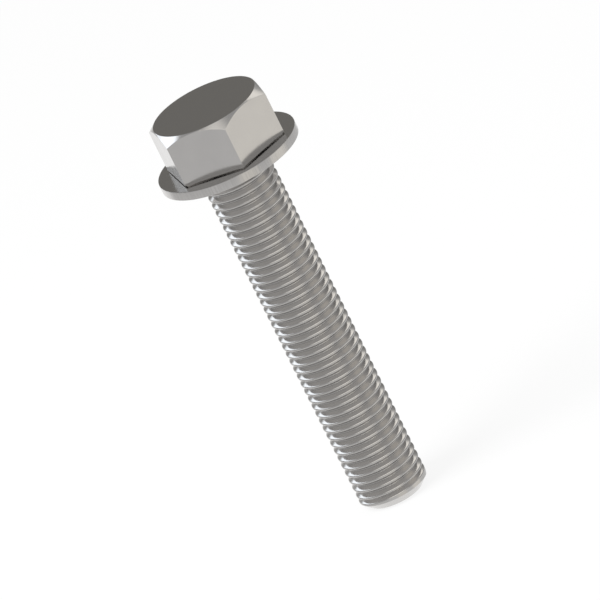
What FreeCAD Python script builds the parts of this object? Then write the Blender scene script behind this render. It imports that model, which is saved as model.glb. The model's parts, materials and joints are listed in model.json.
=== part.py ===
import FreeCAD, Part
import math
import os

import Sketcher

# A hexagon head flange bolt, made as one solid.
# The origin is the centre of the flange's bearing face, the face that clamps down on the work.
# +Z points up to the head, so the shank hangs below the origin and the bolt stands on its tip.
# Two corners of the hexagon lie on the X axis.

# Driving dimensions: name, value in millimetres or degrees, and what it measures.
SIZES = [
    ("thread_dia", 29.5, "outside diameter of the thread, and of the plain shank here"),
    ("bolt_length", 157.3, "from the bearing face to the flat end of the tip"),
    ("tip_dia", 23.0, "flat disc at the end of the tip"),
    ("tip_chamfer", 3.25, "height of the cone that leads the thread into its nut"),
    ("neck_dia", 25.0, "relief under the head, just below the root of the thread"),
    ("neck_length", 2.5, "plain part of the relief"),
    ("neck_taper", 2.5, "height of the cone from the relief out to the thread"),
    ("neck_fillet", 1.0, "rounding where the relief meets the bearing face"),
    ("flange_dia", 59.6, "flat round flange, which spreads the clamping load"),
    ("flange_thickness", 3.8, "from the bearing face to the top of the flange"),
    ("flange_edge", 0.2, "rounding of both edges of the flange's rim"),
    ("across_flats", 45.1, "the hexagon, as a wrench measures it"),
    ("head_height", 25.4, "from the bearing face to the top of the head"),
    ("head_disc_dia", 44.5, "flat disc that the chamfer leaves on top of the head"),
    ("chamfer_angle", 41.0, "slope of the head's chamfer below the flat top"),
    ("foot_slit", 0.4, "height of the narrow undercut all round the hexagon's foot"),
    ("foot_slit_depth", 1.2, "how far that undercut goes in under each flat"),
]

HEX_SIDES = 6


def write_sizes(doc):
    """Puts the driving dimensions in a sheet, one row each, with the name as the cell's alias."""
    sheet = doc.addObject("Spreadsheet::Sheet", "Sizes")
    for row, (name, value, meaning) in enumerate(SIZES, start=1):
        sheet.set(f"A{row}", name)
        sheet.set(f"B{row}", str(value))
        sheet.set(f"C{row}", meaning)
        sheet.setAlias(f"B{row}", name)
    doc.recompute()
    return sheet


def new_sketch(body, name, plane_role):
    """A sketch that lies on one of the body's own origin planes."""
    plane = [p for p in body.Origin.OriginFeatures if p.Role == plane_role][0]
    sketch = body.newObject("Sketcher::SketchObject", name)
    sketch.AttachmentSupport = [(plane, "")]
    sketch.MapMode = "FlatFace"
    return sketch


def add_ring_of_lines(sketch, count):
    """Draws a closed outline of straight lines, to be pulled into shape by its dimensions."""
    places = [2 * math.pi * i / count for i in range(count)]
    corners = [FreeCAD.Vector(math.cos(a), math.sin(a), 0) for a in places]
    for i in range(count):
        sketch.addGeometry(Part.LineSegment(corners[i], corners[(i + 1) % count]), False)
    for i in range(count):
        sketch.addConstraint(Sketcher.Constraint("Coincident", i, 2, (i + 1) % count, 1))


def draw_half_section(sketch, corners):
    """Draws half of a turned form: each corner has a radius from the axis and a height."""
    add_ring_of_lines(sketch, len(corners))
    for i, (radius, height) in enumerate(corners):
        for kind, axis, expression in (("DistanceX", -2, radius), ("DistanceY", -1, height)):
            if expression == "0":
                sketch.addConstraint(Sketcher.Constraint("PointOnObject", i, 1, axis))
                continue
            place = sketch.addConstraint(Sketcher.Constraint(kind, -1, 1, i, 1, 1.0))
            sketch.setExpression(f"Constraints[{place}]", expression)


def draw_hexagon(sketch, across_flats):
    """Draws a regular hexagon round the axis, with two corners on the X axis."""
    add_ring_of_lines(sketch, HEX_SIDES)
    corner_circle = sketch.addGeometry(Part.Circle(), True)
    sketch.addConstraint(Sketcher.Constraint("Coincident", corner_circle, 3, -1, 1))
    for i in range(HEX_SIDES):
        sketch.addConstraint(Sketcher.Constraint("PointOnObject", i, 1, corner_circle))
    for i in range(1, HEX_SIDES):
        sketch.addConstraint(Sketcher.Constraint("Equal", 0, i))
    sketch.addConstraint(Sketcher.Constraint("PointOnObject", 0, 1, -1))
    size = sketch.addConstraint(Sketcher.Constraint("Diameter", corner_circle, 1.0))
    sketch.setExpression(f"Constraints[{size}]", f"({across_flats}) / cos(180 deg / {HEX_SIDES})")


def turn_shank(body):
    """The neck, the shank and the chamfered tip, turned from one half section."""
    sketch = new_sketch(body, "ShankSection", "XZ_Plane")
    draw_half_section(
        sketch,
        [
            ("0", "0"),
            ("Sizes.neck_dia / 2", "0"),
            ("Sizes.neck_dia / 2", "-Sizes.neck_length"),
            ("Sizes.thread_dia / 2", "-Sizes.neck_length - Sizes.neck_taper"),
            ("Sizes.thread_dia / 2", "-Sizes.bolt_length + Sizes.tip_chamfer"),
            ("Sizes.tip_dia / 2", "-Sizes.bolt_length"),
            ("0", "-Sizes.bolt_length"),
        ],
    )
    shank = body.newObject("PartDesign::Revolution", "Shank")
    shank.Profile = sketch
    shank.ReferenceAxis = (sketch, ["V_Axis"])
    shank.Angle = 360


def press_flange(body):
    """The flat round flange, as thick all over as at its rim."""
    sketch = new_sketch(body, "FlangeOutline", "XY_Plane")
    sketch.addGeometry(Part.Circle(), False)
    sketch.addConstraint(Sketcher.Constraint("Coincident", 0, 3, -1, 1))
    size = sketch.addConstraint(Sketcher.Constraint("Diameter", 0, 1.0))
    sketch.setExpression(f"Constraints[{size}]", "Sizes.flange_dia")
    flange = body.newObject("PartDesign::Pad", "Flange")
    flange.Profile = sketch
    flange.setExpression("Length", "Sizes.flange_thickness")


def press_foot(body):
    """The smaller hexagon at the foot of the head, which leaves a narrow undercut all round it."""
    sketch = new_sketch(body, "FootOutline", "XY_Plane")
    draw_hexagon(sketch, "Sizes.across_flats - 2 * Sizes.foot_slit_depth")
    foot = body.newObject("PartDesign::Pad", "Foot")
    foot.Profile = sketch
    foot.setExpression("Length", "Sizes.flange_thickness + Sizes.foot_slit")


def press_hexagon(body):
    """The wrench hexagon, which stands on its foot just clear of the flange."""
    sketch = new_sketch(body, "HexagonOutline", "XY_Plane")
    sketch.setExpression("AttachmentOffset.Base.z", "Sizes.flange_thickness + Sizes.foot_slit")
    draw_hexagon(sketch, "Sizes.across_flats")
    hexagon = body.newObject("PartDesign::Pad", "Hexagon")
    hexagon.Profile = sketch
    hexagon.setExpression("Length", "Sizes.head_height - Sizes.flange_thickness - Sizes.foot_slit")


def chamfer_head(body):
    """Turns a cone off the corners, which leaves a round flat top and a scallop on each face."""
    sketch = new_sketch(body, "ChamferSection", "XZ_Plane")
    clear_of_corners = "Sizes.across_flats"
    drop = f"({clear_of_corners} - Sizes.head_disc_dia / 2) * tan(Sizes.chamfer_angle * 1 deg)"
    draw_half_section(
        sketch,
        [
            ("Sizes.head_disc_dia / 2", "Sizes.head_height"),
            (clear_of_corners, f"Sizes.head_height - {drop}"),
            (clear_of_corners, "Sizes.head_height"),
        ],
    )
    chamfer = body.newObject("PartDesign::Groove", "HeadChamfer")
    chamfer.Profile = sketch
    chamfer.ReferenceAxis = (sketch, ["V_Axis"])
    chamfer.Angle = 360


def circles(shape, diameter, height=None):
    """The names of the round edges of one diameter, at one height if it is given."""
    found = []
    for number, edge in enumerate(shape.Edges, start=1):
        if not isinstance(edge.Curve, Part.Circle):
            continue
        at_height = height is None or abs(edge.Curve.Center.z - height) < 1e-6
        if at_height and abs(2 * edge.Curve.Radius - diameter) < 1e-6:
            found.append(f"Edge{number}")
    return found


def round_edges(doc, body, name, radius_cell, diameter, height=None):
    """Rounds every circular edge of one diameter."""
    doc.recompute()
    base = body.Tip
    fillet = body.newObject("PartDesign::Fillet", name)
    fillet.Base = (base, circles(base.Shape, diameter, height))
    fillet.setExpression("Radius", f"Sizes.{radius_cell}")


def build_bolt(doc, sheet):
    body = doc.addObject("PartDesign::Body", "FlangeBolt")
    body.Label = "flange_bolt"
    turn_shank(body)
    press_flange(body)
    press_foot(body)
    press_hexagon(body)
    chamfer_head(body)
    round_edges(doc, body, "FlangeEdges", "flange_edge", sheet.flange_dia)
    round_edges(doc, body, "NeckFillet", "neck_fillet", sheet.neck_dia, 0.0)
    body.Placement = FreeCAD.Placement()
    return body


def check(doc, bodies):
    """Stops if a feature failed or a shape isn't one sound solid."""
    for item in doc.Objects:
        if "Invalid" in item.State or "Error" in item.State:
            raise RuntimeError(f"{item.Name} failed: {item.State}")
    for body in bodies:
        if body.Shape.isNull() or not body.Shape.isValid() or len(body.Shape.Solids) != 1:
            raise RuntimeError(f"{body.Label} isn't one valid solid")


def main():
    doc = FreeCAD.newDocument("flange_bolt")
    sheet = write_sizes(doc)
    bodies = [build_bolt(doc, sheet)]
    doc.recompute()
    check(doc, bodies)
    os.makedirs("parts", exist_ok=True)
    for body in bodies:
        body.Shape.exportStep(f"parts/{body.Label}.step")
        box = body.Shape.optimalBoundingBox(False, False)
        print(f"{body.Label}: {box.XLength:.2f} x {box.YLength:.2f} x {box.ZLength:.2f} mm,"
              f" {body.Shape.Volume:.1f} cubic mm")


main()
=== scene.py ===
# %% [markdown]
# # A stainless steel flange bolt
# The bolt is one piece of steel: a hexagon head with a flat round flange under it, and a shank that is
# threaded all the way up to the flange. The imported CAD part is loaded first, because every size in this
# lesson hangs on it. Its shank is a plain cylinder, so the thread is made here.

import json
import math

import bmesh
import bpy
from mathutils import Matrix, Vector


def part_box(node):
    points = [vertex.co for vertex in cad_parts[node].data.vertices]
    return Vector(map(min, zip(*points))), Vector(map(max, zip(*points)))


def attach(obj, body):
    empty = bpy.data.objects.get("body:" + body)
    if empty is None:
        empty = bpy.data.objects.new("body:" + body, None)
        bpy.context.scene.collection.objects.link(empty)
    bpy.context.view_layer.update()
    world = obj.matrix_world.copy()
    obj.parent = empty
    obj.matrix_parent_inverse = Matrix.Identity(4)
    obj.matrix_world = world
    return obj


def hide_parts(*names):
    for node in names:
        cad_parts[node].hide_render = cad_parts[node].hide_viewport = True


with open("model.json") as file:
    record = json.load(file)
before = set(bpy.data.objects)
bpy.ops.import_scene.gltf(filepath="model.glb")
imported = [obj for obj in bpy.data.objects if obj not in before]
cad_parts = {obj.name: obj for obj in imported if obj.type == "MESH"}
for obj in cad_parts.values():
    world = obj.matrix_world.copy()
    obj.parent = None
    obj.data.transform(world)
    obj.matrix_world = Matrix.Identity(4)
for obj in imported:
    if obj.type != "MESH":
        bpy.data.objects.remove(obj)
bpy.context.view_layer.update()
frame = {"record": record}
bolt_low, bolt_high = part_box("flange_bolt")
low_mm, high_mm = ([round(v * 1000, 2) for v in corner] for corner in (bolt_low, bolt_high))
print("CAD bolt from", low_mm, "to", high_mm, "mm")

# %% [markdown]
# ## Sizes
# The overall sizes are read from the CAD part, so the dressed bolt can't drift from it. The others are
# written in millimetres, as on a drawing, and turned to metres here, in one place.

# %% Sizes of the bolt
MM = 0.001
HEAD_TOP = bolt_high.z
FLANGE_RADIUS = bolt_high.x
TIP = bolt_low.z
mounts = {mount["name"]: mount for mount in frame["record"]["mounts"]}
THREAD_RADIUS = mounts["shank"]["dims"]["r_mm"] * MM
FLANGE_THICKNESS = 3.8 * MM
ACROSS_FLATS = 45.1 * MM
HEAD_DISC_RADIUS = 22.2 * MM
CHAMFER_ANGLE = math.radians(41)
NECK_RADIUS = 12.5 * MM
NECK_LENGTH = 2.5 * MM
NECK_FILLET = 1.0 * MM
TIP_RADIUS = 11.5 * MM
PITCH = 3.5 * MM
print("shank", round(-TIP / MM, 1), "mm, thread", round(2 * THREAD_RADIUS / MM, 1), "mm over its crests")

# %% [markdown]
# ## Three helpers
# Everything on the bolt is either turned or cut by a plane. A turned form can be spun from a half
# outline, or grown from a disc that is extruded and scaled ring by ring. The second way is used, because
# it leaves a closed skin at every step, which the cuts and joins further on need.

# %% Helpers for modelling
TURNED_STEPS = 192


def deselect_all():
    """Clears the selection, because an operator acts on all that is selected."""
    if bpy.context.mode != "OBJECT":
        bpy.ops.object.mode_set(mode="OBJECT")
    bpy.ops.object.select_all(action="DESELECT")


def turned_piece(name, outline):
    """Grows a closed round piece ring by ring from the bottom up, by a list of (radius, height)."""
    deselect_all()
    first_radius, first_height = outline[0]
    bpy.ops.mesh.primitive_circle_add(
        vertices=TURNED_STEPS, radius=first_radius, fill_type="NGON", location=(0, 0, first_height)
    )
    piece = bpy.context.object
    piece.name = name
    bpy.ops.object.mode_set(mode="EDIT")
    bpy.ops.mesh.select_mode(type="FACE")
    bpy.ops.mesh.select_all(action="SELECT")
    for (radius, height), (next_radius, next_height) in zip(outline, outline[1:]):
        rise = (0, 0, next_height - height)
        bpy.ops.mesh.extrude_region_move(TRANSFORM_OT_translate={"value": rise})
        growth = next_radius / radius
        bpy.ops.transform.resize(value=(growth, growth, 1), center_override=(0, 0, next_height))
    bpy.ops.mesh.select_all(action="SELECT")
    bpy.ops.mesh.normals_make_consistent(inside=False)
    deselect_all()
    return piece


def select_faces(piece, test):
    """Puts the piece in edit mode and selects the faces whose centre and normal pass the test."""
    deselect_all()
    bpy.context.view_layer.objects.active = piece
    piece.select_set(True)
    bpy.ops.object.mode_set(mode="EDIT")
    bpy.ops.mesh.select_mode(type="FACE")
    bpy.ops.mesh.select_all(action="DESELECT")
    mesh = bmesh.from_edit_mesh(piece.data)
    place = piece.matrix_world
    for face in mesh.faces:
        face.select_set(test(place @ face.calc_center_median(), face.normal))
    bmesh.update_edit_mesh(piece.data)
    return sum(face.select for face in mesh.faces)


print("a turned ring has", TURNED_STEPS, "steps of", round(360 / TURNED_STEPS, 2), "degrees")

# %% [markdown]
# ## The hexagon head
# A real head starts as a round blank whose top edge is turned to a cone, and the six flats are cut into
# it. That order is what gives each flat its arched top edge. The arches could be drawn as curves, but
# cutting the turned blank with six planes gives them exactly, so the model is made like the real one.

# %% Turn the blank of the head
FOOT_SLIT = 0.55 * MM
BLANK_RADIUS = 27.0 * MM
blank_drop = (BLANK_RADIUS - HEAD_DISC_RADIUS) * math.tan(CHAMFER_ANGLE)
head = turned_piece(
    "head",
    [
        (BLANK_RADIUS, FLANGE_THICKNESS + FOOT_SLIT),
        (BLANK_RADIUS, HEAD_TOP - blank_drop),
        (HEAD_DISC_RADIUS, HEAD_TOP),
    ],
)
print("head blank", round(2 * BLANK_RADIUS / MM, 1), "mm wide, cone", round(blank_drop / MM, 2), "mm high")

# %% Cut the six flats
CUT_SNAP = 0.0001 * MM
select_faces(head, lambda centre, normal: True)
for side in range(6):
    direction = Vector((math.cos(math.radians(30 + 60 * side)), math.sin(math.radians(30 + 60 * side)), 0))
    bpy.ops.mesh.select_all(action="SELECT")
    bpy.ops.mesh.bisect(
        plane_co=direction * ACROSS_FLATS / 2,
        plane_no=direction,
        threshold=CUT_SNAP,
        use_fill=True,
        clear_outer=True,
    )
print("head now has", len(bmesh.from_edit_mesh(head.data).faces), "faces")

# %% [markdown]
# ## The edges and the foot of the hexagon
# Every sharp edge gets a tiny bevel. A real edge is never perfectly sharp, and the bevel is what catches
# the thin light lines round the flats and the top. Where the hexagon meets the flange the picture shows a
# line so dark that it must be a narrow slit: thin at the corners, and deeper towards the middle of each
# flat. So the hexagon stands on a foot that reaches its corners but draws in between them. A circle of
# twelve points, with every other point moved inwards, is that foot's outline.

# %% Break the edges
EDGE_BREAK = 0.05 * MM
select_faces(head, lambda centre, normal: False)
bpy.ops.mesh.select_mode(type="EDGE")
bpy.ops.mesh.edges_select_sharp(sharpness=math.radians(20))
bpy.ops.mesh.bevel(offset=EDGE_BREAK, segments=2, profile=0.5, affect="EDGES", clamp_overlap=True)
deselect_all()
print("head with its broken edges:", len(head.data.polygons), "faces")

# %% Stand it on its foot
SLIT_DEPTH = 2.6 * MM
CORNER_INSET = 0.9 * MM
foot_corner = ACROSS_FLATS / 2 / math.cos(math.radians(30)) - CORNER_INSET
foot_middle = ACROSS_FLATS / 2 - SLIT_DEPTH
bpy.ops.mesh.primitive_circle_add(vertices=12, radius=foot_corner, fill_type="NGON", location=(0, 0, MM))
foot = bpy.context.object
foot.name = "foot"
bpy.ops.object.mode_set(mode="EDIT")
bpy.ops.mesh.select_mode(type="VERT")
bpy.ops.mesh.select_all(action="DESELECT")
outline = bmesh.from_edit_mesh(foot.data)
for point in outline.verts:
    angle_round = math.degrees(math.atan2(point.co.y, point.co.x))
    point.select_set(round(angle_round / 30) % 2 == 1)
bmesh.update_edit_mesh(foot.data)
drawn_in = foot_middle / foot_corner
bpy.ops.transform.resize(value=(drawn_in, drawn_in, 1), center_override=(0, 0, MM))
bpy.ops.mesh.select_mode(type="FACE")
bpy.ops.mesh.select_all(action="SELECT")
into_the_head = (0, 0, FLANGE_THICKNESS + FOOT_SLIT)
bpy.ops.mesh.extrude_region_move(TRANSFORM_OT_translate={"value": into_the_head})
bpy.ops.mesh.select_all(action="SELECT")
bpy.ops.mesh.normals_make_consistent(inside=False)
deselect_all()
print("slit", round(FOOT_SLIT / MM, 2), "mm high and up to", round(SLIT_DEPTH / MM, 1), "mm deep")

# %% [markdown]
# ## The flange and the relief under it
# The flange is a flat disc with just a breath of rounding on its rim. It hides the top of the shank in
# the picture, so what lies there is a guess: a short relief, turned down below the thread, with a fillet
# that runs out on to the bearing face. Disc, fillet and relief are one turned outline, so they are grown
# as one piece.

# %% Turn the flange
RIM_BREAK = 0.2 * MM
INTO_THE_THREAD = 1.5 * MM
HALF_BREAK = RIM_BREAK * (1 - math.sqrt(0.5))
flange_outline = [(NECK_RADIUS, -NECK_LENGTH - INTO_THE_THREAD)]
for turn in (0, 30, 60, 90):
    out = NECK_FILLET * (1 - math.cos(math.radians(turn)))
    up = NECK_FILLET * math.sin(math.radians(turn))
    flange_outline.append((NECK_RADIUS + out, -NECK_FILLET + up))
flange_outline += [
    (FLANGE_RADIUS - RIM_BREAK, 0),
    (FLANGE_RADIUS - HALF_BREAK, HALF_BREAK),
    (FLANGE_RADIUS, RIM_BREAK),
    (FLANGE_RADIUS, FLANGE_THICKNESS - RIM_BREAK),
    (FLANGE_RADIUS - HALF_BREAK, FLANGE_THICKNESS - HALF_BREAK),
    (FLANGE_RADIUS - RIM_BREAK, FLANGE_THICKNESS),
]
flange = turned_piece("flange", flange_outline)
print("flange", round(2 * FLANGE_RADIUS / MM, 1), "mm wide in", len(flange_outline), "rings")

# %% [markdown]
# ## The thread
# A standard coarse thread of 30 mm has flanks at 60 degrees to each other, a pitch of 3.5 mm, a flat
# crest and a rounded root. It is rolled, so its corners are soft, and it comes out a little under 30 mm,
# which makes the crest wider and the groove shallower than the standard's full form. One pitch of that
# outline is drawn point by point, its corners are rounded, and the Screw modifier sweeps it up and
# round, so that each turn ends where the next begins. Rings would be simpler, but they wouldn't climb as
# a screw's thread does.

# %% Draw one pitch of the thread
THREAD_DEPTH = 2.05 * MM
CREST_WIDTH = 0.66 * MM
CREST_ROUNDING = 0.24 * MM
ROOT_ROUNDING = 0.22 * MM
THREAD_START = -163.53 * MM
flank_rise = THREAD_DEPTH * math.tan(math.radians(30))
root_width = PITCH - CREST_WIDTH - 2 * flank_rise
deselect_all()
bpy.ops.mesh.primitive_plane_add(size=MM, location=(THREAD_RADIUS, 0, THREAD_START))
thread = bpy.context.object
thread.name = "thread"
bpy.ops.object.mode_set(mode="EDIT")
bpy.ops.mesh.select_mode(type="VERT")
bpy.ops.mesh.select_all(action="SELECT")
bpy.ops.mesh.merge(type="CENTER")
for outwards, upwards in (
    (0, CREST_WIDTH / 2),
    (-THREAD_DEPTH, flank_rise),
    (0, root_width),
    (THREAD_DEPTH, flank_rise),
    (0, CREST_WIDTH / 2),
):
    bpy.ops.mesh.extrude_region_move(TRANSFORM_OT_translate={"value": (outwards, 0, upwards)})
for at_crest, rounding in ((True, CREST_ROUNDING), (False, ROOT_ROUNDING)):
    bpy.ops.mesh.select_all(action="DESELECT")
    outline = bmesh.from_edit_mesh(thread.data)
    for point in outline.verts:
        outside = point.co.x > -THREAD_DEPTH / 2
        point.select_set(len(point.link_edges) == 2 and outside == at_crest)
    bmesh.update_edit_mesh(thread.data)
    bpy.ops.mesh.bevel(offset=rounding, segments=4, profile=0.5, affect="VERTICES")
bpy.ops.object.mode_set(mode="OBJECT")
bpy.ops.object.transform_apply(location=True, rotation=True, scale=True)
print("one pitch has", len(thread.data.vertices), "points,", round(THREAD_DEPTH / MM, 3), "mm deep")

# %% Sweep it up the shank
THREAD_STEPS = 96
THREAD_TURNS = 47
SWEEP_GAP = 0.005 * MM
screw = thread.modifiers.new("climb", "SCREW")
screw.axis = "Z"
screw.angle = math.tau
screw.steps = THREAD_STEPS
screw.render_steps = THREAD_STEPS
screw.screw_offset = PITCH
screw.iterations = THREAD_TURNS
bpy.ops.object.modifier_apply(modifier=screw.name)
bpy.ops.object.mode_set(mode="EDIT")
bpy.ops.mesh.select_all(action="SELECT")
bpy.ops.mesh.remove_doubles(threshold=SWEEP_GAP)
print("thread swept in", THREAD_TURNS, "turns:", len(bmesh.from_edit_mesh(thread.data).faces), "faces")

# %% [markdown]
# ## Where the thread starts
# At the tip of the real bolt the groove doesn't run out through the end. It starts a little above it,
# shallow and narrow at first, and leaves a plain band round the end of the shank. A groove that fades
# can't be swept. So the sweep starts two turns too low, and the points of those turns are moved out to
# the crest: all the way at first, and then less and less. In the first full turn the points below the
# groove are moved up as well, which makes it narrower there.

# %% Fade the groove out towards the tip
PLAIN_TURNS = 1.96
FADING_TURNS = 0.36
NARROW_TURNS = 3.1
WIDENING_TURNS = 0.4
BAND_RISE = 0.7 * MM
band_edge = CREST_WIDTH / 2 + BAND_RISE
groove_top = PITCH - CREST_WIDTH / 2
narrow_depth = 0.95 * (groove_top - band_edge) / 2 / math.tan(math.radians(30))
narrow_middle = (groove_top + band_edge) / 2


def smooth_share(value):
    """Rises gently from 0 to 1 as the value does."""
    value = min(max(value, 0), 1)
    return value * value * (3 - 2 * value)


skin = bmesh.from_edit_mesh(thread.data)
for point in skin.verts:
    part_turn = (math.atan2(point.co.y, point.co.x) / math.tau) % 1
    pitches_up = (point.co.z - THREAD_START) / PITCH
    turns_up = math.floor(pitches_up - part_turn) + part_turn
    height_in_pitch = (pitches_up - turns_up) * PITCH
    radius = point.co.xy.length
    depth = THREAD_RADIUS - radius
    narrow = 1 - smooth_share((turns_up - NARROW_TURNS) / WIDENING_TURNS)
    if depth > THREAD_DEPTH / 2:
        squeezed = narrow_middle + (height_in_pitch - PITCH / 2) / 10
        point.co.z += narrow * (squeezed - height_in_pitch)
        depth += narrow * (min(depth, narrow_depth) - depth)
    elif 0.01 * MM < height_in_pitch < PITCH / 2:
        point.co.z += narrow * BAND_RISE
    depth *= smooth_share((turns_up - PLAIN_TURNS) / FADING_TURNS)
    growth = (THREAD_RADIUS - depth) / radius
    point.co.x *= growth
    point.co.y *= growth
bmesh.update_edit_mesh(thread.data)
print("the groove starts", round(-(THREAD_START + PLAIN_TURNS * PITCH) / MM, 1), "mm below the flange")

# %% Close it at both ends
THREAD_TOP = -NECK_LENGTH + 0.2 * MM
BELOW_TIP = TIP - 0.7 * MM
for height, facing in ((BELOW_TIP, -1), (THREAD_TOP, 1)):
    bpy.ops.mesh.select_all(action="SELECT")
    bpy.ops.mesh.bisect(
        plane_co=(0, 0, height),
        plane_no=(0, 0, facing),
        threshold=CUT_SNAP,
        use_fill=True,
        clear_outer=True,
    )
bpy.ops.mesh.select_all(action="SELECT")
bpy.ops.mesh.normals_make_consistent(inside=False)
bpy.ops.object.mode_set(mode="OBJECT")
print("closed thread:", len(thread.data.polygons), "faces")

# %% [markdown]
# ## The ends of the thread
# The blank of a real bolt is turned before its thread is rolled: a cone at the tip, which leads the nut
# on, and the relief under the flange. A turned envelope a little wider than the crests, with those two
# cones on it, is laid over the thread, and only what lies inside both is kept.

# %% Trim the thread to the turned blank
ENVELOPE_RADIUS = THREAD_RADIUS + 0.8 * MM
INTO_THE_NECK = 0.6 * MM
envelope = turned_piece(
    "envelope",
    [
        (TIP_RADIUS, TIP),
        (ENVELOPE_RADIUS, TIP + ENVELOPE_RADIUS - TIP_RADIUS),
        (ENVELOPE_RADIUS, -NECK_LENGTH - (ENVELOPE_RADIUS - NECK_RADIUS)),
        (NECK_RADIUS - INTO_THE_NECK, -NECK_LENGTH + INTO_THE_NECK),
    ],
)


def combine(piece, other, operation):
    """Joins, cuts or intersects piece with the other closed mesh, and removes the other."""
    deselect_all()
    bpy.context.view_layer.objects.active = piece
    piece.select_set(True)
    step = piece.modifiers.new(operation.lower(), "BOOLEAN")
    step.object = other
    step.operation = operation
    step.solver = "EXACT"
    bpy.ops.object.modifier_apply(modifier=step.name)
    bpy.data.objects.remove(other)
    print(piece.name, "after", operation.lower(), "has", len(piece.data.polygons), "faces")


combine(thread, envelope, "INTERSECT")

# %% [markdown]
# ## One piece of steel
# The bolt is forged in one, so the head, the flange and the thread become one closed skin. Where they
# pass into each other there is no seam left inside.

# %% Join the forms
SKIN_GAP = 0.002 * MM
combine(head, foot, "UNION")
combine(flange, head, "UNION")
combine(flange, thread, "UNION")
bolt = flange
bolt.name = "steel_bolt"
bolt.data.name = "steel_bolt"
bpy.ops.object.mode_set(mode="EDIT")
bpy.ops.mesh.select_all(action="SELECT")
bpy.ops.mesh.remove_doubles(threshold=SKIN_GAP)
bpy.ops.mesh.normals_make_consistent(inside=False)
bpy.ops.object.mode_set(mode="OBJECT")
bpy.ops.object.transform_apply(location=True, rotation=True, scale=True)
bpy.ops.object.shade_smooth_by_angle(angle=math.radians(30))
even = bolt.modifiers.new("even_shading", "WEIGHTED_NORMAL")
even.mode = "FACE_AREA"
even.keep_sharp = True
bpy.ops.object.modifier_apply(modifier=even.name)
triangles = sum(len(face.vertices) - 2 for face in bolt.data.polygons)
skin = bmesh.new()
skin.from_mesh(bolt.data)
open_edges = sum(not edge.is_manifold for edge in skin.edges)
volume = round(skin.calc_volume() / MM**3)
print("bolt:", triangles, "triangles,", open_edges, "open edges, volume", volume, "mm3")
skin.free()

# %% Put the bolt in its place
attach(bolt, "root")
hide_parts("flange_bolt")

# %% [markdown]
# ## Stainless steel, three times
# A bolt like this is austenitic stainless steel. The head and the flange are forged and then pickled in
# acid, the rim of the flange is trimmed to size, and the thread is rolled between dies. The metal is the
# same, so its colour and its Metallic of 1 are shared. What differs is how even the surface is, and that
# is why there are three materials, with one set of nodes each.

# %% Colours and nodes
STEEL_COLOUR = "#CECCCA"
ETCHED_COLOUR = "#C8C6C4"


def linear(hex_colour):
    """Turns an sRGB colour such as #C8C6C2 to the linear values that Blender works in."""
    channels = [int(hex_colour[i : i + 2], 16) / 255 for i in (1, 3, 5)]
    return [c / 12.92 if c <= 0.04045 else ((c + 0.055) / 1.055) ** 2.4 for c in channels] + [1.0]


def add_node(tree, kind, settings=None, inputs=None):
    """Adds a node, sets its properties, and sets its inputs, or links those given as a socket."""
    node = tree.nodes.new(kind)
    for name, value in (settings or {}).items():
        setattr(node, name, value)
    for name, value in (inputs or {}).items():
        if isinstance(value, bpy.types.NodeSocket):
            tree.links.new(value, node.inputs[name])
        else:
            node.inputs[name].default_value = value
    return node


def start_material(name):
    """Makes a material with an empty node tree, and gives the tree and the object's coordinates in it."""
    material = bpy.data.materials.new(name)
    material.use_nodes = True
    tree = material.node_tree
    tree.nodes.clear()
    return material, tree, add_node(tree, "ShaderNodeTexCoord").outputs["Object"]


def finish_steel(tree, cloud, roughness, relief, relief_height):
    """Builds the steel's shader: a cloud of 0 to 1 for colour and roughness, and a relief for the bump."""
    colour = add_node(
        tree,
        "ShaderNodeMix",
        {"data_type": "RGBA"},
        {0: cloud, 6: linear(STEEL_COLOUR), 7: linear(ETCHED_COLOUR)},
    )
    smooth, dull = roughness
    gloss = add_node(tree, "ShaderNodeMapRange", inputs={"Value": cloud, "To Min": smooth, "To Max": dull})
    bump = add_node(tree, "ShaderNodeBump", inputs={"Height": relief, "Distance": relief_height})
    shader = add_node(
        tree,
        "ShaderNodeBsdfPrincipled",
        inputs={
            "Base Color": colour.outputs[2],
            "Metallic": 1.0,
            "Roughness": gloss.outputs[0],
            "Normal": bump.outputs[0],
        },
    )
    add_node(tree, "ShaderNodeOutputMaterial", inputs={"Surface": shader.outputs[0]})


print("steel reflects", [round(channel, 2) for channel in linear(STEEL_COLOUR)[:3]])

# %% [markdown]
# ## The forged and pickled head
# Forging presses the surface against a smooth die, and pickling takes the scale off and leaves it very
# slightly uneven, in soft clouds of some millimetres. To the eye that is a satin sheen with edges of
# reflections that aren't quite sharp. The clouds change the roughness and, hardly at all, the colour, and
# a fine grain gives a trace of bump. The real grain is some hundredths of a millimetre, too fine to show,
# so it is drawn at half a millimetre.

# %% Forged and pickled stainless steel
CLOUD_SIZE = 7 * MM
GRAIN_SIZE = 0.5 * MM
forged_steel, tree, place = start_material("forged_pickled_stainless_steel")
cloud = add_node(
    tree,
    "ShaderNodeTexNoise",
    inputs={"Vector": place, "Scale": 1 / CLOUD_SIZE, "Detail": 3.0},
)
grain = add_node(
    tree,
    "ShaderNodeTexNoise",
    inputs={"Vector": place, "Scale": 1 / GRAIN_SIZE, "Detail": 2.0},
)
finish_steel(tree, cloud.outputs[0], (0.11, 0.21), grain.outputs[0], 0.003 * MM)
print("clouds", round(CLOUD_SIZE / MM, 1), "mm, grain", round(GRAIN_SIZE / MM, 2), "mm")

# %% [markdown]
# ## The trimmed rim
# After forging, the flange is pushed through a round trimming die, which cuts its rim and leaves fine
# lines across it, parallel to the bolt. Noise that is stretched along Z draws them. The real ones are
# finer than a pixel, so they are drawn 0.6 mm apart.

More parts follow.
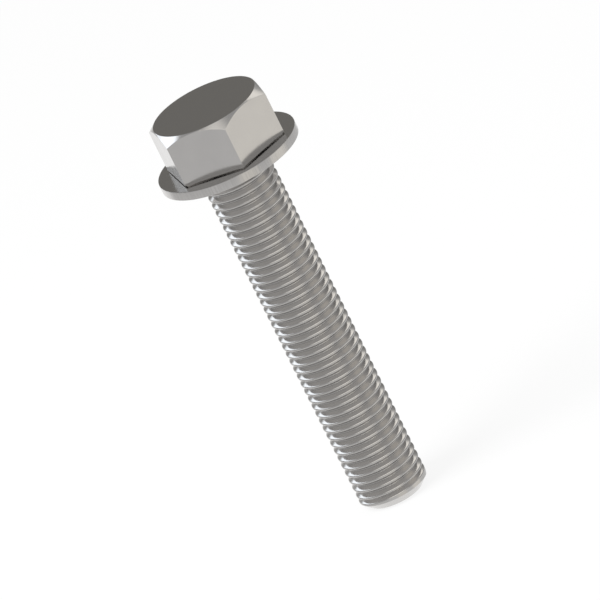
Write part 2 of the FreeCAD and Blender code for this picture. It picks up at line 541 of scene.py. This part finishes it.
# %% Trimmed stainless steel
TRIM_LINE = 0.6 * MM
TRIM_LENGTH = 40 * MM
trimmed_steel, tree, place = start_material("trimmed_stainless_steel")
stretched = add_node(
    tree,
    "ShaderNodeMapping",
    inputs={"Vector": place, "Scale": (1 / TRIM_LINE, 1 / TRIM_LINE, 1 / TRIM_LENGTH)},
)
noise = add_node(
    tree,
    "ShaderNodeTexNoise",
    inputs={"Vector": stretched.outputs[0], "Scale": 1.0, "Detail": 2.0},
)
lines = add_node(
    tree,
    "ShaderNodeMapRange",
    inputs={"Value": noise.outputs[0], "From Min": 0.35, "From Max": 0.65},
)
finish_steel(tree, lines.outputs[0], (0.10, 0.22), lines.outputs[0], 0.013 * MM)
print("trim lines", round(TRIM_LINE / MM, 2), "mm apart")

# %% [markdown]
# ## The rolled thread
# A rolled thread is pressed by dies that slide along its grooves, so its flanks are smooth and carry
# faint streaks that follow the helix. Straight noise would cut across the grooves. So the pattern is
# laid out by how far a point is round the groove's own section, which is its height less what the thread
# has climbed by its turn, given as a cosine and a sine so that it closes on itself at every turn.

# %% Rolled stainless steel
STREAK_WIDTH = 0.35 * MM
STREAK_LENGTH = 15 * MM
rolled_steel, tree, place = start_material("rolled_stainless_steel")
axes = add_node(tree, "ShaderNodeSeparateXYZ", inputs={0: place})
angle = add_node(
    tree,
    "ShaderNodeMath",
    {"operation": "ARCTAN2"},
    {0: axes.outputs["Y"], 1: axes.outputs["X"]},
)
climb = add_node(
    tree,
    "ShaderNodeMath",
    {"operation": "MULTIPLY"},
    {0: axes.outputs["Z"], 1: math.tau / PITCH},
)
section = add_node(
    tree,
    "ShaderNodeMath",
    {"operation": "SUBTRACT"},
    {0: climb.outputs[0], 1: angle.outputs[0]},
)
across = add_node(tree, "ShaderNodeMath", {"operation": "COSINE"}, {0: section.outputs[0]})
along = add_node(tree, "ShaderNodeMath", {"operation": "SINE"}, {0: section.outputs[0]})
layout = add_node(
    tree,
    "ShaderNodeCombineXYZ",
    inputs={"X": across.outputs[0], "Y": along.outputs[0], "Z": axes.outputs["Z"]},
)
streaks_in_pitch = PITCH / STREAK_WIDTH / math.tau
streaks_in_turn = math.tau * THREAD_RADIUS / STREAK_LENGTH / PITCH
stretched = add_node(
    tree,
    "ShaderNodeVectorMath",
    {"operation": "MULTIPLY"},
    {0: layout.outputs[0], 1: (streaks_in_pitch, streaks_in_pitch, streaks_in_turn)},
)
streaks = add_node(
    tree,
    "ShaderNodeTexNoise",
    inputs={"Vector": stretched.outputs[0], "Scale": 1.0, "Detail": 2.0},
)
finish_steel(tree, streaks.outputs[0], (0.12, 0.22), streaks.outputs[0], 0.004 * MM)
print("streaks", round(STREAK_WIDTH / MM, 2), "mm wide and about", round(STREAK_LENGTH / MM), "mm long")

# %% Give each part of the bolt its finish
bolt.data.materials.clear()
for steel in (forged_steel, trimmed_steel, rolled_steel):
    bolt.data.materials.append(steel)


def on_the_rim(centre, normal):
    """The rim of the flange, with the rounding of its two edges."""
    return abs(normal.z) < 0.9 and centre.xy.length > FLANGE_RADIUS - RIM_BREAK


def on_the_thread(centre, normal):
    """All that lies below the relief under the flange."""
    return centre.z < -NECK_LENGTH


for slot_number, test in ((1, on_the_rim), (2, on_the_thread)):
    count = select_faces(bolt, test)
    bolt.active_material_index = slot_number
    bpy.ops.object.material_slot_assign()
    print(count, "faces of", bolt.data.materials[slot_number].name)
deselect_all()

# %% [markdown]
# ## Floor and light
# The bolt stands on its tip on a plain white floor, in white surroundings. The floor is lit by the world
# and by one large soft lamp. To the camera most of the floor's colour is given as plain white, which
# keeps it as pale as the surroundings and leaves only a light, soft shadow.

# %% The white surroundings


def seen_directly(tree):
    """Gives 1 to rays of the camera, of gloss and of glass, and 0 to all other light."""
    path = add_node(tree, "ShaderNodeLightPath")
    camera_or_gloss = add_node(
        tree,
        "ShaderNodeMath",
        {"operation": "MAXIMUM"},
        {0: path.outputs["Is Camera Ray"], 1: path.outputs["Is Glossy Ray"]},
    )
    any_of_them = add_node(
        tree,
        "ShaderNodeMath",
        {"operation": "MAXIMUM"},
        {0: camera_or_gloss.outputs[0], 1: path.outputs["Is Transmission Ray"]},
    )
    return any_of_them.outputs[0]


WHITE = "#FFFFFF"
WORLD_LEVEL = 0.65
world = bpy.data.worlds.new("white_surroundings")
bpy.context.scene.world = world
world.use_nodes = True
tree = world.node_tree
tree.nodes.clear()
plain = add_node(tree, "ShaderNodeBackground", inputs={"Color": linear(WHITE), "Strength": WORLD_LEVEL})
white = add_node(tree, "ShaderNodeBackground", inputs={"Color": linear(WHITE), "Strength": 1.0})
either = add_node(
    tree,
    "ShaderNodeMixShader",
    inputs={0: seen_directly(tree), 1: plain.outputs[0], 2: white.outputs[0]},
)
add_node(tree, "ShaderNodeOutputWorld", inputs={"Surface": either.outputs[0]})
print("world gives", WORLD_LEVEL, "of white to the floor")

# %% The floor
FLOOR_SIZE = 3.0
FLOOR_COLOUR = "#F4F4F4"
OWN_WHITE = 0.86
deselect_all()
bpy.ops.mesh.primitive_plane_add(size=FLOOR_SIZE, location=(0, 0, TIP))
floor = bpy.context.object
floor.name = "pale_floor"
floor_paint, tree, _ = start_material("matt_white_paint")
matt = add_node(tree, "ShaderNodeBsdfDiffuse", inputs={"Color": linear(FLOOR_COLOUR)})
glow = add_node(tree, "ShaderNodeEmission", inputs={"Color": linear(WHITE), "Strength": 1.0})
path = add_node(tree, "ShaderNodeLightPath")
glow_share = add_node(
    tree,
    "ShaderNodeMath",
    {"operation": "MULTIPLY"},
    {0: path.outputs["Is Camera Ray"], 1: OWN_WHITE},
)
blend = add_node(
    tree,
    "ShaderNodeMixShader",
    inputs={0: glow_share.outputs[0], 1: matt.outputs[0], 2: glow.outputs[0]},
)
add_node(tree, "ShaderNodeOutputMaterial", inputs={"Surface": blend.outputs[0]})
floor.data.materials.append(floor_paint)
floor.visible_glossy = False
print("floor at", round(TIP / MM, 1), "mm")

# %% The lamp
LAMP_SIZE = 0.7
LAMP_POWER = 14.0
LAMP_PLACE = Vector((-0.55, -0.5, 1.0))
deselect_all()
bpy.ops.object.light_add(type="AREA", location=LAMP_PLACE)
lamp = bpy.context.object
lamp.name = "soft_lamp"
lamp.data.size = LAMP_SIZE
lamp.data.energy = LAMP_POWER
lamp.rotation_euler = LAMP_PLACE.to_track_quat("Z", "Y").to_euler()
lamp.visible_glossy = False
print("lamp", round(LAMP_PLACE.length, 2), "m away")

# %% [markdown]
# ## What the steel reflects
# Bright metal has hardly a look of its own: it shows what stands round it. In a studio it is therefore
# put in a tent of white cloth, with bright and dark cards in it. Here the tent is a large sphere that
# only gloss can see, so it lights nothing but the steel, and the floor and the lamp are left out of the
# gloss. A card could be pushed about until it shows in the right place. It is surer to start from the
# bolt: each surface mirrors one direction to the camera, and its card is hung there.

# %% Which way a surface mirrors
CAMERA_AZIMUTH = math.radians(22.31)
CAMERA_ELEVATION = math.radians(20.29)


def way_out(round_to_right, up):
    """The direction that lies this far round to the right from the camera, and this far up."""
    level_turn = round_to_right + CAMERA_AZIMUTH
    level_way = Vector((math.sin(level_turn), -math.cos(level_turn), 0))
    return level_way * math.cos(up) + Vector((0, 0, math.sin(up)))


def mirrored(round_to_right, up):
    """What a surface that faces this way shows to the camera."""
    facing = way_out(round_to_right, up)
    view = way_out(0, CAMERA_ELEVATION)
    return 2 * facing.dot(view) * facing - view


print("the top of the head shows", [round(v, 2) for v in mirrored(0, math.radians(90))])

# %% Cloth of the tent, from below to above
TENT_RADIUS = 1.5
CLOTH_LEVELS = ((-90, 0.7), (-20, 0.7), (0, 0.3), (30, 0.5), (90, 0.4))
deselect_all()
bpy.ops.mesh.primitive_uv_sphere_add(
    segments=48, ring_count=24, radius=TENT_RADIUS, location=(0, 0, TIP / 2)
)
tent = bpy.context.object
tent.name = "light_tent"
tent_cloth, tree, place = start_material("lit_tent_cloth")
direction = add_node(tree, "ShaderNodeVectorMath", {"operation": "NORMALIZE"}, {0: place})
height = add_node(tree, "ShaderNodeSeparateXYZ", inputs={0: direction.outputs[0]})
position = add_node(tree, "ShaderNodeMapRange", inputs={"Value": height.outputs["Z"], "From Min": -1.0})
ramp = add_node(tree, "ShaderNodeValToRGB", inputs={0: position.outputs[0]})
steps = ramp.color_ramp.elements
while len(steps) < len(CLOTH_LEVELS):
    steps.new(0.5)
for step, (elevation, level) in zip(steps, CLOTH_LEVELS):
    step.position = (1 + math.sin(math.radians(elevation))) / 2
    step.color = (level, level, level, 1.0)
print("cloth in", len(steps), "steps")

# %% [markdown]
# ## The cards in the tent
# A card is given by the surface that shows it: how far that surface faces round to the right from the
# camera, and how far up. Then come two angles, out to which the card is full and at which it has faded
# to nothing, its tint, and its strength, where 1 is plain white. The numbers are round ones. Which
# surfaces get a bright or a dark card, and about how strong, leans on a light that a program had fitted
# to the picture. A later card lies over an earlier one.

# %% Cards, each hung where one surface mirrors it
WARM = "#FFFCF6"
COOL = "#F2F8FF"
FRONT_FLAT = -math.degrees(CAMERA_AZIMUTH)
RIGHT_FLAT = FRONT_FLAT + 60
LEFT_FLAT = FRONT_FLAT - 60
LEFT_CORNER = FRONT_FLAT - 30
CHAMFER_FACES = 90 - math.degrees(CHAMFER_ANGLE)
FLANK_FACES = 60
CARDS = (
    ("floor behind, in the tip", 0, -45, 30, 50, WHITE, 1.0),
    ("floor behind, in the far left flat", LEFT_FLAT, 0, 20, 40, WHITE, 1.0),
    ("overhead softbox, in the round of the crests", 0, 35, 20, 35, WARM, 1.4),
    ("softbox on the right, in the right flanks", 50, FLANK_FACES, 12, 22, WARM, 1.2),
    ("dark cloth overhead, in the front flanks", 0, FLANK_FACES, 10, 25, WHITE, 0.4),
    ("dark room behind, in the top of the head", 0, 90, 15, 30, WARM, 0.2),
    ("window on the left, in the left corner", LEFT_CORNER, CHAMFER_FACES, 12, 20, COOL, 2.0),
    ("window behind on the left, in the left flanks", -68, FLANK_FACES, 8, 14, COOL, 1.8),
    ("grey card, in the front flat", FRONT_FLAT, 0, 8, 16, WHITE, 0.65),
    ("warm card, in the right flat", RIGHT_FLAT, 0, 10, 22, WARM, 0.9),
    ("pale card, in the front of the rim", 8, 0, 8, 20, WARM, 0.8),
)
colour = ramp.outputs[0]
for name, round_to_right, up, full, faded, hex_colour, strength in CARDS:
    way = mirrored(math.radians(round_to_right), math.radians(up))
    nearness = add_node(
        tree,
        "ShaderNodeVectorMath",
        {"operation": "DOT_PRODUCT"},
        {0: direction.outputs[0], 1: way},
    )
    share = add_node(
        tree,
        "ShaderNodeMapRange",
        {"interpolation_type": "SMOOTHSTEP"},
        {
            "Value": nearness.outputs["Value"],
            "From Min": math.cos(math.radians(faded)),
            "From Max": math.cos(math.radians(full)),
        },
    )
    light = [strength * channel for channel in linear(hex_colour)[:3]] + [1.0]
    card = add_node(
        tree,
        "ShaderNodeMix",
        {"data_type": "RGBA", "label": name},
        {0: share.outputs[0], 6: colour, 7: light},
    )
    colour = card.outputs[2]
shine = add_node(tree, "ShaderNodeEmission", inputs={"Color": colour, "Strength": 1.0})
add_node(tree, "ShaderNodeOutputMaterial", inputs={"Surface": shine.outputs[0]})
tent.data.materials.append(tent_cloth)
tent.visible_camera = False
tent.visible_diffuse = False
tent.visible_transmission = False
tent.visible_shadow = False
print("tent with", len(CARDS), "cards")

# %% [markdown]
# ## The camera
# The picture is a plain product view, taken from above and in front, with the camera rolled so that the
# bolt leans across the frame. Its parallel edges stay parallel, so the camera is orthographic, and its
# width is the number of pixels times the size of one pixel on the bolt.

# %% The camera
PIXELS = 600
MM_PER_PIXEL = 0.39667
CAMERA_ROLL = math.radians(-26.473)
AIM_RIGHT = 27.62 * MM
AIM_DOWN = 55.50 * MM
CAMERA_DISTANCE = 2.0
back = Vector(
    (
        math.sin(CAMERA_AZIMUTH) * math.cos(CAMERA_ELEVATION),
        -math.cos(CAMERA_AZIMUTH) * math.cos(CAMERA_ELEVATION),
        math.sin(CAMERA_ELEVATION),
    )
)
level_right = Vector((math.cos(CAMERA_AZIMUTH), math.sin(CAMERA_AZIMUTH), 0))
level_up = back.cross(level_right)
right = math.cos(CAMERA_ROLL) * level_right + math.sin(CAMERA_ROLL) * level_up
up = -math.sin(CAMERA_ROLL) * level_right + math.cos(CAMERA_ROLL) * level_up
camera_data = bpy.data.cameras.new("picture_camera")
camera_data.type = "ORTHO"
camera_data.ortho_scale = PIXELS * MM_PER_PIXEL * MM
camera = bpy.data.objects.new("picture_camera", camera_data)
bpy.context.scene.collection.objects.link(camera)
place = right * AIM_RIGHT - up * AIM_DOWN + back * CAMERA_DISTANCE
turned = Matrix((right, up, back)).transposed().to_4x4()
camera.matrix_world = Matrix.Translation(place) @ turned
bpy.context.scene.camera = camera
bpy.context.scene.view_settings.view_transform = "Standard"
print("camera sees", round(camera_data.ortho_scale / MM, 1), "mm across")

# %% Finish
bpy.context.view_layer.update()
